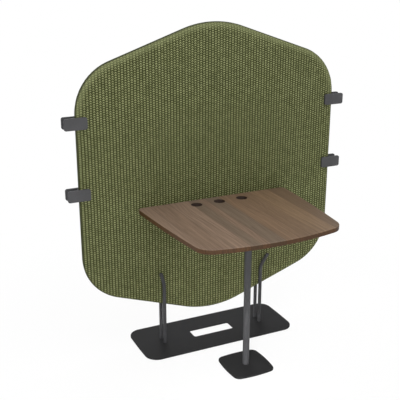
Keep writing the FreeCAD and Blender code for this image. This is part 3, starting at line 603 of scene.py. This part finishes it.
def rollProfile():  # from the seam to the face: how far in, how deep, and how far along the fabric
    angle = np.radians(np.linspace(cover["tuckAngle"], 90, cover["rollSteps"] + 1))
    inset = cover["rollWidth"] * (1 - np.cos(angle))
    depth = cover["rollMiddle"] + (cover["faceDepth"] - cover["rollMiddle"]) * np.sin(angle)
    run = np.concatenate([[0], np.cumsum(np.hypot(np.diff(inset), np.diff(depth)))])
    return inset, depth, run


def pastRing(points, ring, outward):  # how far points lie outside a ring, below 0 within it
    return np.max(points @ outward.T - np.sum(ring * outward, 1), 1)


def ringLinks(count):
    return [(index, (index + 1) % count) for index in range(count)]


def gridLines(step, low, high):
    return np.arange(math.ceil(low / step), math.floor(high / step) + 1) * step


def faceGrid(faceRing, outward):  # squares in columns and rows that follow the ribs and the stitches
    columnStep = 2 * knit["ribSpacing"] / knit["ribColumns"]  # halved by the subdivision
    rowStep = 2 * knit["stitchLength"] / knit["stitchRows"]
    columns = gridLines(columnStep, -screenHalf, screenHalf)
    rows = gridLines(rowStep, frontLow.z, frontHigh.z)
    wide = len(columns)
    points = np.stack(np.meshgrid(columns, rows), -1).reshape(-1, 2)
    inside = pastRing(points, faceRing, outward).reshape(-1, wide) < -cover["gridMargin"] * columnStep
    cells = np.argwhere(inside[:-1, :-1] & inside[1:, :-1] & inside[:-1, 1:] & inside[1:, 1:])
    return {
        "points": points,
        "start": (columns[0], rows[0]),
        "steps": (columnStep, rowStep),
        "cells": cells,
        "squares": [(row * wide + col + np.array([0, 1, wide + 1, wide])).tolist() for row, col in cells],
    }


def squareBorder(squares):  # the edges that only one square has
    uses = {}
    for square in squares:
        for here, there in zip(square, square[1:] + square[:1]):
            uses[frozenset((here, there))] = uses.get(frozenset((here, there)), 0) + 1
    return [tuple(pair) for pair, times in uses.items() if times == 1]


def faceBand(faceRing, grid):  # triangles from the face's edge to the outermost squares
    count = len(faceRing)
    border = squareBorder(grid["squares"])
    rim = sorted({number for pair in border for number in pair})
    rimPlace = {number: count + index for index, number in enumerate(rim)}
    flat = [Vector(point) for point in [*faceRing, *grid["points"][rim]]]
    fences = ringLinks(count) + [(rimPlace[here], rimPlace[there]) for here, there in border]
    _, _, triangles, origins, _, _ = delaunay_2d_cdt(flat, fences, [], 1, 1e-6)
    filled = {tuple(cell) for cell in grid["cells"]}
    (startX, startZ), (columnStep, rowStep) = grid["start"], grid["steps"]
    band = []
    for triangle in triangles:
        corners = [origins[corner][0] for corner in triangle]
        middle = sum((flat[corner] for corner in corners), Vector((0, 0))) / 3
        cell = (math.floor((middle.y - startZ) / rowStep), math.floor((middle.x - startX) / columnStep))
        if cell not in filled:
            band.append(corners)
    return rim, band


def liningTriangles(edge, outward, faceRing, grid):  # the plain inner side, in large triangles
    coarse = cover["liningStep"]
    points = grid["points"]
    offLine = np.abs(points / coarse - np.round(points / coarse)) * coarse
    places = points[(offLine < np.array(grid["steps"]) / 2).all(1)]
    places = places[pastRing(places, faceRing, outward) < -coarse / 2]
    flat = [Vector(point) for point in [*(edge - cover["rimWidth"] * outward), *places]]
    _, _, triangles, origins, _, _ = delaunay_2d_cdt(flat, ringLinks(len(edge)), [], 1, 1e-6)
    return places, [[origins[corner][0] for corner in triangle] for triangle in triangles]


def coverMesh(name, side):  # side is -1 for the front and 1 for the rear
    edge, outward = edgeWalk(cover["edgeSteps"])
    inset, depth, run = rollProfile()
    faceRing = edge - cover["rollWidth"] * outward
    grid = faceGrid(faceRing, outward)
    rim, band = faceBand(faceRing, grid)
    liningPlaces, lining = liningTriangles(edge, outward, faceRing, grid)
    loop = ringLinks(len(edge))
    bm = bmesh.new()
    cloth = bm.verts.layers.float_vector.new("clothPlace")
    crease = bm.edges.layers.float.new("crease_edge")
    ringInsets = [cover["rimWidth"], cover["rimWidth"], *inset]
    ringDepths = [cover["lining"], depth[0], *depth]
    rings = []
    for ringInset, ringDepth in zip(ringInsets, ringDepths):
        places = edge - ringInset * outward
        rings.append([bm.verts.new((x, side * ringDepth, z)) for x, z in places])
    for ring, laid in zip(rings[2:], run):
        for vert, place, direction in zip(ring, faceRing, outward):
            x, z = place + direction * (run[-1] - laid)
            vert[cloth] = (*wander(x, z), laid / run[-1])
    onGrid = {}
    for number in sorted({number for square in grid["squares"] for number in square}):
        x, z = grid["points"][number]
        onGrid[number] = bm.verts.new((x, side * cover["faceDepth"], z))
        onGrid[number][cloth] = (*wander(x, z), 1.0)
    face = rings[-1] + [onGrid[number] for number in rim]
    for inner, outer in zip(rings[:-1], rings[1:]):
        for here, there in loop:
            bm.faces.new((inner[here], inner[there], outer[there], outer[here]))
    for square in grid["squares"]:
        bm.faces.new([onGrid[number] for number in square])
    for corners in band:
        bm.faces.new([face[corner] for corner in corners])
    lined = rings[0] + [bm.verts.new((x, side * cover["lining"], z)) for x, z in liningPlaces]
    for corners in lining:
        bm.faces.new([lined[corner] for corner in corners])
    for ring in rings[:3]:
        for here, there in loop:
            bm.edges.get((ring[here], ring[there]))[crease] = 1.0
    bmesh.ops.recalc_face_normals(bm, faces=bm.faces)
    mesh = bpy.data.meshes.new(name)
    bm.to_mesh(mesh)
    bm.free()
    piece = bpy.data.objects.new(name, mesh)
    bpy.context.scene.collection.objects.link(piece)
    return piece, 3 * len(edge)  # the lining's edge and the seam come first and don't move


# Where something rests on the fabric, it stays at its own depth: boxes of x and z, in metres
def pressedPlaces(side):
    facing = "front" if side < 0 else "rear"
    names = []
    for hand in ("left", "right"):
        names += [f"link_clip_{level}_{hand}_{facing}_plate" for level in ("upper", "lower")]
        names.append(f"leg_rod_{facing}_{hand}")
    if side < 0:
        names += ["desk_bracket_left", "desk_bracket_right", "desk_top"]
    return [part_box(name) for name in names]


def swell(piece, still, side):
    scene = bpy.context.scene
    mesh = piece.data
    rest = np.array([vert.co for vert in mesh.vertices])
    held = np.arange(len(rest)) < still
    margin = cover["heldMargin"]
    for low, high in pressedPlaces(side):
        inX = (rest[:, 0] > low.x - margin) & (rest[:, 0] < high.x + margin)
        inZ = (rest[:, 2] > low.z - margin) & (rest[:, 2] < high.z + margin)
        held |= inX & inZ
    group = piece.vertex_groups.new(name="held")
    group.add(np.flatnonzero(held).tolist(), 1.0, "REPLACE")
    padding = piece.modifiers.new("padding", "CLOTH")
    padding.settings.vertex_group_mass = "held"
    padding.settings.use_pressure = True
    padding.settings.uniform_pressure_force = cover["pressure"]
    padding.settings.effector_weights.gravity = 0.0
    padding.settings.tension_stiffness = cover["stretchStiffness"]
    padding.settings.compression_stiffness = cover["stretchStiffness"]
    padding.settings.bending_stiffness = cover["bendStiffness"]
    padding.collision_settings.use_collision = False
    padding.point_cache.frame_end = cover["frames"]
    for number in range(1, cover["frames"] + 1):
        scene.frame_set(number)
    blown = piece.evaluated_get(bpy.context.evaluated_depsgraph_get()).data
    moved = np.array([vert.co for vert in blown.vertices]) - rest
    links = np.array([edge.vertices[:] for edge in mesh.edges])
    here, there = np.concatenate([links, links[:, ::-1]]).T
    neighbours = np.bincount(here, minlength=len(rest))[:, None]
    for _ in range(cover["evening"]):  # evens out the ripples, so that only the broad swelling stays
        pulled = np.column_stack([np.bincount(here, column[there], len(rest)) for column in moved.T])
        moved = np.where(held[:, None], 0.0, pulled / neighbours)
    distance = np.maximum(np.linalg.norm(moved, axis=1), 1e-9)
    moved *= (cover["swell"] * np.tanh(distance / cover["swell"]) / distance)[:, None]
    piece.modifiers.remove(padding)
    scene.frame_set(1)
    mesh.vertices.foreach_set("co", (rest + moved).ravel())
    piece.vertex_groups.clear()
    print(piece.name, "swelled by up to", round(float(distance.max()) * 1000, 2), "mm before the limit")


def closeTree(tree, shape, material, result):  # smooth, made real and given its material
    smooth = put(tree, "GeometryNodeSetShadeSmooth", {0: shape}).outputs[0]
    whole = put(tree, "GeometryNodeRealizeInstances", {0: smooth}).outputs[0]
    covered = put(tree, "GeometryNodeSetMaterial", {"Geometry": whole, "Material": material}).outputs[0]
    tree.links.new(covered, result)


def knitTree():  # lifts the ribs and stitches out of a cover's surface
    inputs = {"Cover": "Geometry", "Relief Depth": "Float", "Fabric": "Material"}
    tree, given, result = newGroup("ribbedKnit", "GeometryNodeTree", inputs, {"Cover": "Geometry"})
    named = put(tree, "GeometryNodeInputNamedAttribute", {"Name": "clothPlace"}, data_type="FLOAT_VECTOR")
    loop = knitPattern(tree, named.outputs[0])
    lift = calc(tree, "MULTIPLY_ADD", loop["hold"], -0.5, loop["height"])
    lift = calc(tree, "MULTIPLY", lift, given["Relief Depth"])
    normal = put(tree, "GeometryNodeInputNormal").outputs[0]
    offset = put(tree, "ShaderNodeVectorMath", {0: normal, "Scale": lift}, operation="SCALE").outputs[0]
    raised = put(tree, "GeometryNodeSetPosition", {"Geometry": given["Cover"], "Offset": offset}).outputs[0]
    closeTree(tree, raised, given["Fabric"], result["Cover"])
    return tree


def runTree(piece, tree, values):  # evaluates a tree on a piece and keeps the result as its plain mesh
    modifier = piece.modifiers.new(tree.name, "NODES")
    modifier.node_group = tree
    for item in tree.interface.items_tree:
        if item.in_out == "INPUT" and item.name in values:
            modifier[item.identifier] = values[item.name]
    bpy.context.view_layer.update()
    graph = bpy.context.evaluated_depsgraph_get()
    shaped = piece.evaluated_get(graph)
    made = bpy.data.meshes.new_from_object(shaped, preserve_all_data_layers=True, depsgraph=graph)
    piece.modifiers.clear()
    old = piece.data
    made.name = piece.name
    piece.data = made
    bpy.data.meshes.remove(old)


ribbedKnit = knitTree()


def makeCover(name, node, side):
    piece, still = coverMesh(name, side)
    swell(piece, still, side)
    smooth = piece.modifiers.new("smooth", "SUBSURF")
    smooth.levels = 1
    smooth.render_levels = 1
    runTree(piece, ribbedKnit, {"Relief Depth": knit["reliefDepth"], "Fabric": finishes["green_fabric"]})
    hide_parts(node)
    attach(piece, mainBody)
    print(name, "has", len(piece.data.polygons), "faces")


makeCover("frontCover", "front_cover", -1)
makeCover("rearCover", "rear_cover", 1)

# Seam: a piped cord between the covers, set just below their widest line
seam = {
    "cordRadius": 0.0017,
    "sunk": 0.0016,
    "step": 0.006,
    "cordSides": 10,
    "cornerSteps": 60,
}


def seamTree():
    sizes = {"Cord Radius": "Float", "Step": "Float", "Cord Sides": "Int", "Corner Steps": "Int"}
    inputs = {"Corners": "Geometry", **sizes, "Tape": "Material"}
    tree, given, result = newGroup("seamCord", "GeometryNodeTree", inputs, {"Cord": "Geometry"})
    path = put(tree, "GeometryNodeMeshToCurve", {0: given["Corners"]}).outputs[0]
    named = put(tree, "GeometryNodeInputNamedAttribute", {"Name": "cornerRadius"}, data_type="FLOAT")
    bend = {"Curve": path, "Count": given["Corner Steps"], "Radius": named.outputs[0]}
    rounded = put(tree, "GeometryNodeFilletCurve", bend, mode="POLY").outputs[0]
    stepped = {"Curve": rounded, "Length": given["Step"]}
    evenly = put(tree, "GeometryNodeResampleCurve", stepped, mode="LENGTH").outputs[0]
    section = {"Resolution": given["Cord Sides"], "Radius": given["Cord Radius"]}
    ring = put(tree, "GeometryNodeCurvePrimitiveCircle", section).outputs[0]
    cord = put(tree, "GeometryNodeCurveToMesh", {"Curve": evenly, "Profile Curve": ring}).outputs[0]
    closeTree(tree, cord, given["Tape"], result["Cord"])
    return tree


def makeSeam():
    sunk = seam["sunk"]
    lean = math.atan2(cover["apexReach"] - cover["shoulderReach"], screenHalf)
    apex = cover["apexReach"] - sunk / math.cos(lean)
    half = screenHalf - sunk
    shoulder = apex - half * math.tan(lean)
    corners = [(0, apex), (half, shoulder), (half, -shoulder)]
    corners += [(-x, -z) for x, z in corners]
    radii = [cover["apexRadius"], cover["shoulderRadius"], cover["shoulderRadius"]] * 2
    mesh = bpy.data.meshes.new("edgePiping")
    mesh.from_pydata([(x, 0.0, z + screenMiddle) for x, z in corners], ringLinks(len(corners)), [])
    rounding = mesh.attributes.new("cornerRadius", "FLOAT", "POINT")
    rounding.data.foreach_set("value", [radius - sunk for radius in radii])
    piece = bpy.data.objects.new("edgePiping", mesh)
    bpy.context.scene.collection.objects.link(piece)
    values = {
        "Cord Radius": seam["cordRadius"],
        "Step": seam["step"],
        "Cord Sides": seam["cordSides"],
        "Corner Steps": seam["cornerSteps"],
        "Tape": finishes["seam_tape"],
    }
    runTree(piece, seamTree(), values)
    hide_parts("edge_piping")
    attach(piece, mainBody)
    print("seam cord has", len(piece.data.polygons), "faces")


makeSeam()

# Floor, light and camera
studio = {
    "floorHalf": 9.0,
    "floorDrop": 0.0004,  # keeps the plates' undersides clear of it
    "floorColour": (0.93, 0.93, 0.93, 1.0),
    "floorGlow": 0.9,  # share of plain white that the camera sees on the floor, the rest keeps the shadow
    "shadowReach": (0.9, 2.0),  # metres from the object over which the shadow fades out
    "ambient": 0.52,
    "lamps": {  # place, the point it faces, size, power and the angle of its beam
        "overheadLamp": ((-0.4, -0.9, 4.4), (0.0, -0.2, 0.8), 4.2, 85.0, 180.0),
        "frontLamp": ((-1.0, -4.6, 1.2), (0.0, 0.0, 0.7), 3.0, 66.0, 180.0),
        "leftLamp": ((-3.4, -2.0, 2.2), (0.0, -0.3, 0.6), 2.4, 18.0, 180.0),
        "lowLamp": ((-1.3, -2.0, 1.0), (0.1, -0.36, 0.0), 0.5, 1.5, 30.0),
        "rightLamp": ((3.2, -2.8, 2.2), (0.0, 0.0, 0.8), 2.6, 18.0, 180.0),
        "rearLamp": ((0.8, 4.2, 1.5), (0.0, 0.0, 0.8), 3.0, 80.0, 180.0),
    },
}


def seenRays(tree):  # 1 for what the camera sees, straight, mirrored or through glass
    path = put(tree, "ShaderNodeLightPath").outputs
    seen = calc(tree, "MAXIMUM", path["Is Camera Ray"], path["Is Glossy Ray"])
    return calc(tree, "MAXIMUM", seen, path["Is Transmission Ray"])


def makeFloor():
    half = studio["floorHalf"]
    low = -studio["floorDrop"]
    mesh = bpy.data.meshes.new("floor")
    corners = [(-half, -half, low), (half, -half, low), (half, half, low), (-half, half, low)]
    mesh.from_pydata(corners, [], [(0, 1, 2, 3)])
    floor = bpy.data.objects.new("floor", mesh)
    bpy.context.scene.collection.objects.link(floor)
    material = bpy.data.materials.new("paleFloor")
    material.use_nodes = True
    tree = material.node_tree
    tree.nodes.clear()
    matt = put(tree, "ShaderNodeBsdfDiffuse", {"Color": studio["floorColour"]}).outputs[0]
    white = put(tree, "ShaderNodeEmission", {"Color": (1, 1, 1, 1), "Strength": 1.0}).outputs[0]
    away = put(tree, "ShaderNodeVectorMath", {0: onObject(tree)}, operation="LENGTH").outputs["Value"]
    glow = spread(tree, away, *studio["shadowReach"], studio["floorGlow"], 1.0)
    share = calc(tree, "MULTIPLY", seenRays(tree), glow)
    both = put(tree, "ShaderNodeMixShader", {0: share, 1: matt, 2: white}).outputs[0]
    fromBelow = put(tree, "ShaderNodeNewGeometry").outputs["Backfacing"]
    clear = put(tree, "ShaderNodeBsdfTransparent").outputs[0]
    whole = put(tree, "ShaderNodeMixShader", {0: fromBelow, 1: both, 2: clear}).outputs[0]
    put(tree, "ShaderNodeOutputMaterial", {"Surface": whole})
    mesh.materials.append(material)


def makeLight():
    scene = bpy.context.scene
    scene.view_settings.view_transform = "Standard"
    world = bpy.data.worlds.new("studio")
    scene.world = world
    world.use_nodes = True
    tree = world.node_tree
    sky = tree.nodes["Background"]
    sky.inputs["Color"].default_value = (1, 1, 1, 1)
    level = calc(tree, "MULTIPLY_ADD", seenRays(tree), 1 - studio["ambient"], studio["ambient"])
    tree.links.new(level, sky.inputs["Strength"])
    for name, (place, aim, size, power, beam) in studio["lamps"].items():
        data = bpy.data.lights.new(name, "AREA")
        data.shape = "DISK"
        data.size = size
        data.energy = power
        data.spread = math.radians(beam)
        lamp = bpy.data.objects.new(name, data)
        lamp.location = place
        lamp.rotation_mode = "QUATERNION"
        lamp.rotation_quaternion = (Vector(aim) - Vector(place)).to_track_quat("-Z", "Y")
        lamp.visible_camera = False
        scene.collection.objects.link(lamp)


view = {
    "azimuth": -25.277,  # degrees
    "elevation": 18.7,
    "lens": 67.87,  # millimetres, on a sensor of this width
    "sensorWidth": 36.0,
    "place": (-1.57464, -3.19436, 1.93401),
}


def makeCamera():
    data = bpy.data.cameras.new("photoCamera")
    data.lens = view["lens"]
    data.sensor_width = view["sensorWidth"]
    camera = bpy.data.objects.new("photoCamera", data)
    camera.location = view["place"]
    camera.rotation_euler = (math.radians(90 - view["elevation"]), 0, math.radians(view["azimuth"]))
    bpy.context.scene.collection.objects.link(camera)
    bpy.context.scene.camera = camera


makeFloor()
makeLight()
makeCamera()
print("floor, light and camera ready")
